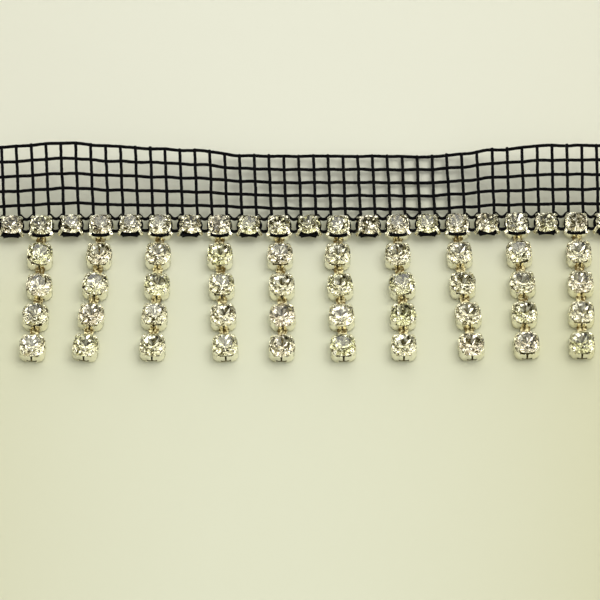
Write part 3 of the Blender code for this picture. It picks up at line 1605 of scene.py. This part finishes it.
    @staticmethod
    def _lay(
        bm: bmesh.types.BMesh,
        thick: bmesh.types.BMLayerItem,
        points: Iterable[tuple[Vector, float]],
    ) -> None:
        """Add one open path to the net's paths.

        Args:
            bm: the paths' bmesh.
            thick: the layer that holds the thickness.
            points: the path's points and their thickness.
        """
        last = None
        for spot, width in points:
            vert = bm.verts.new(spot)
            vert[thick] = width
            if last is not None:
                bm.edges.new((last, vert))
            last = vert

    def _thread_tree(self) -> GeometryTree:
        """Build the tree that spins thread along the paths.

        Returns:
            The tree.
        """
        tree = GeometryTree("spin_threads")
        radius = tree.given("Thread radius", "Float")
        step = tree.given("Step", "Float")
        fuzz = tree.given("Fuzz", "Float")
        finish = tree.given("Finish", "Material")
        curves = tree.add("GeometryNodeMeshToCurve", {}, {0: tree.geometry()})
        even = tree.add(
            "GeometryNodeResampleCurve", {"mode": "LENGTH"}, {"Curve": curves, "Length": step}
        )
        upright = tree.add("GeometryNodeSetCurveNormal", {"mode": "Z_UP"}, {"Curve": even})
        sized = tree.add(
            "GeometryNodeSetCurveRadius",
            {},
            {"Curve": upright, "Radius": tree.attribute("thick")},
        )
        circle = tree.add(
            "GeometryNodeCurvePrimitiveCircle",
            {},
            {"Resolution": self.thread_sides, "Radius": radius},
        )
        oval = tree.add(
            "GeometryNodeTransform", {}, {"Geometry": circle, "Scale": (self.oval, 1.0, 1.0)}
        )
        tube = tree.add(
            "GeometryNodeCurveToMesh",
            {},
            {"Curve": sized, "Profile Curve": oval, "Fill Caps": True},
        )
        lumps = tree.add("ShaderNodeTexNoise", {}, {"Scale": self.lumps, "Detail": 1.0})
        lift = (lumps - 0.5) * fuzz * 2.0
        away = tree.add(
            "ShaderNodeVectorMath",
            {"operation": "SCALE"},
            {0: tree.add("GeometryNodeInputNormal"), "Scale": lift},
        )
        rough = tree.add("GeometryNodeSetPosition", {}, {"Geometry": tube, "Offset": away})
        real = tree.add("GeometryNodeRealizeInstances", {}, {"Geometry": rough})
        tree.end(tree.add("GeometryNodeSetMaterial", {}, {"Geometry": real, "Material": finish}))
        return tree


@dataclass
class Finishes:
    """The materials of the trim, made once."""

    silver: bpy.types.Material
    brass: bpy.types.Material
    # Dark brass with painted shade, for the hollows of the cups and settings.
    inside: bpy.types.Material
    glass: bpy.types.Material
    foil: bpy.types.Material
    thread: bpy.types.Material

    @classmethod
    def make(cls) -> "Finishes":
        """Make every material.

        Returns:
            The finishes.
        """
        return cls(
            silver=SilverPlate().material(),
            brass=WornBrass().material(),
            inside=CupInsidePaintedShade().material(),
            glass=CrystalGlass().material(),
            foil=CrystalFoil().material(),
            thread=NetThread().material(),
        )


@dataclass(frozen=True)
class Room:
    """The world: an even fill, and light and dark patches that the crystals and metal mirror."""

    fill: float = 0.47
    fill_colour: Colour = (1.0, 1.0, 0.98)
    patch_scale: float = 3.3
    patches: tuple[tuple[float, Colour], ...] = (
        (0.4, (0.04, 0.03, 0.01)),
        (0.46, (0.26, 0.23, 0.1)),
        (0.5, (0.64, 0.62, 0.43)),
        (0.55, (1.0, 0.99, 0.88)),
    )
    level: float = 0.98
    low_light: float = 0.6
    bright_way: Way = (0.0, 0.42, 0.9)
    bright_from: float = 0.2
    bright_rate: float = 1.4
    bright_gain: float = 0.78
    dark_way: Way = (0.05, -0.75, 0.66)
    dark_from: float = 0.82
    dark_rate: float = 8.0
    dark_share: float = 0.55
    spark_from: float = 0.61
    spark_rate: float = 40.0
    spark_gain: float = 3.0

    def build(self) -> None:
        """Build the world."""
        world = bpy.data.worlds.new("studio")
        bpy.context.scene.world = world
        world.use_nodes = True
        world.node_tree.nodes.clear()
        tree = Tree(world.node_tree)
        way = tree.add("ShaderNodeTexCoord", {}, {}, "Generated")
        patches = tree.add(
            "ShaderNodeTexNoise", {}, {"Vector": way, "Scale": self.patch_scale, "Detail": 1.0}
        )
        colour = tree.add("ShaderNodeValToRGB", {"stops": self.patches}, {"Fac": patches})
        high = self._toward(tree, way, self.bright_way).past(self.bright_from, self.bright_rate)
        shade = self._toward(tree, way, self.dark_way).past(self.dark_from, self.dark_rate)
        spark = patches.past(self.spark_from, self.spark_rate)
        light = (self.low_light + high * self.bright_gain) * self.level
        strength = (light + spark * self.spark_gain) * (1.0 - shade * self.dark_share)
        even = tree.add(
            "ShaderNodeBackground",
            {},
            {"Color": (*self.fill_colour, 1.0), "Strength": self.fill},
        )
        seen = tree.add("ShaderNodeBackground", {}, {"Color": colour, "Strength": strength})
        diffuse = tree.add("ShaderNodeLightPath", {}, {}, "Is Diffuse Ray")
        mixed = tree.add("ShaderNodeMixShader", {}, {0: diffuse, 1: seen, 2: even})
        tree.make("ShaderNodeOutputWorld", {}, {"Surface": mixed})

    @staticmethod
    def _toward(tree: Tree, way: Wire, aim: Way) -> Wire:
        """Measure how near each direction lies to one direction.

        Args:
            tree: the world's tree.
            way: the direction that is seen.
            aim: the direction to compare it with.

        Returns:
            The cosine between the two.
        """
        return tree.add(
            "ShaderNodeVectorMath",
            {"operation": "DOT_PRODUCT"},
            {0: way, 1: Vector(aim).normalized()},
            "Value",
        )


@dataclass(frozen=True)
class Lamp:
    """One round light, hung in a direction from the trim."""

    name: str
    way: Way
    power: float
    mirrored: bool
    away: float = 1500.0
    size: float = 1100.0
    colour: Colour = (1.0, 0.99, 0.95)

    def build(self) -> None:
        """Hang the light; only a mirrored one shows in the metal and the stones."""
        data = bpy.data.lights.new(self.name, "AREA")
        data.shape = "DISK"
        data.size = self.size * MM
        data.energy = self.power
        data.color = self.colour
        way = Vector(self.way)
        lamp = put(self.name, data)
        lamp.location = way.normalized() * self.away * MM
        lamp.rotation_euler = way.to_track_quat("Z", "Y").to_euler()
        lamp.visible_transmission = False
        lamp.visible_glossy = self.mirrored


@dataclass
class Studio:
    """The pale floor, the light and the camera."""

    aim: Vector = field(default_factory=lambda: Vector((-1.23, -8.5, 0.0)))
    elevation: float = 62.0
    distance: float = 800.0
    sensor: float = 36.0
    frame_px: float = 600.0
    px_per_mm: float = 5.54
    floor_half: float = 4000.0
    lamps: tuple[Lamp, ...] = (
        Lamp("key", way=(0.52, 0.3, 1.0), power=10.8, mirrored=True),
        Lamp("rear", way=(0.15, 1.6, 1.0), power=3.8, mirrored=False),
    )

    def build(self) -> None:
        """Build the whole studio, and show colours without a film curve."""
        bpy.context.scene.view_settings.view_transform = "Standard"
        bm = bmesh.new()
        bmesh.ops.create_grid(bm, x_segments=2, y_segments=2, size=self.floor_half)
        floor = MeshMaker.to_object("floor", bm)
        floor.data.materials.append(PaleFloor().material())
        Room().build()
        for lamp in self.lamps:
            lamp.build()
        self._camera()

    def _camera(self) -> None:
        """Set the camera at the photo's angle."""
        data = bpy.data.cameras.new("camera")
        data.sensor_width = self.sensor
        data.lens = self.px_per_mm * self.sensor * self.distance / self.frame_px
        tip = math.radians(self.elevation)
        away = Vector((0.0, -math.cos(tip), math.sin(tip)))
        camera = put("camera", data)
        camera.location = (self.aim + away * self.distance) * MM
        camera.rotation_euler = away.to_track_quat("Z", "Y").to_euler()
        bpy.context.scene.camera = camera


def dress(pieces: Iterable[bpy.types.Object], slot: Callable[[str], Slot]) -> None:
    """Let the pieces ride on the trim's one body, look up each one's slot without keeping it, and
    log its faces.

    Args:
        pieces: the finished pieces.
        slot: gives a piece's slot by its name.
    """
    for piece in pieces:
        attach(piece, "root")
        slot(piece.name).value
        log.info("%s: %d faces", piece.name, len(piece.data.polygons))


def slot_of(name: str) -> Slot:
    """Give the material slot of a piece.

    Args:
        name: the piece's name.

    Returns:
        The slot.
    """
    if name.startswith("net"):
        return Slot.NET
    return Slot.CRYSTAL if "crystal" in name else Slot.SETTING


def remove_templates(names: Iterable[str]) -> None:
    """Remove the shapes that were only copied from."""
    for name in names:
        bpy.data.objects.remove(bpy.data.objects[name], do_unlink=True)


def main() -> None:
    """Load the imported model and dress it."""
    logging.basicConfig(level=logging.INFO, format="%(name)s: %(message)s")
    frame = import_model()
    layout = Layout().read(frame["nodes"])
    finishes = Finishes.make()
    setter = Setter()
    pieces = StoneRow(layout).build(setter, finishes)
    pieces += ChainDrops(layout).build(setter, finishes)
    pieces.append(SewingNet(layout).build(finishes))
    remove_templates(
        (
            "plain_setting",
            "hanging_setting",
            "row_crystal",
            "chain_cup",
            "chain_crystal",
            "chain_link",
        )
    )
    dress(pieces, slot_of)
    Studio().build()
    bpy.context.view_layer.update()


if __name__ == "__main__":
    main()
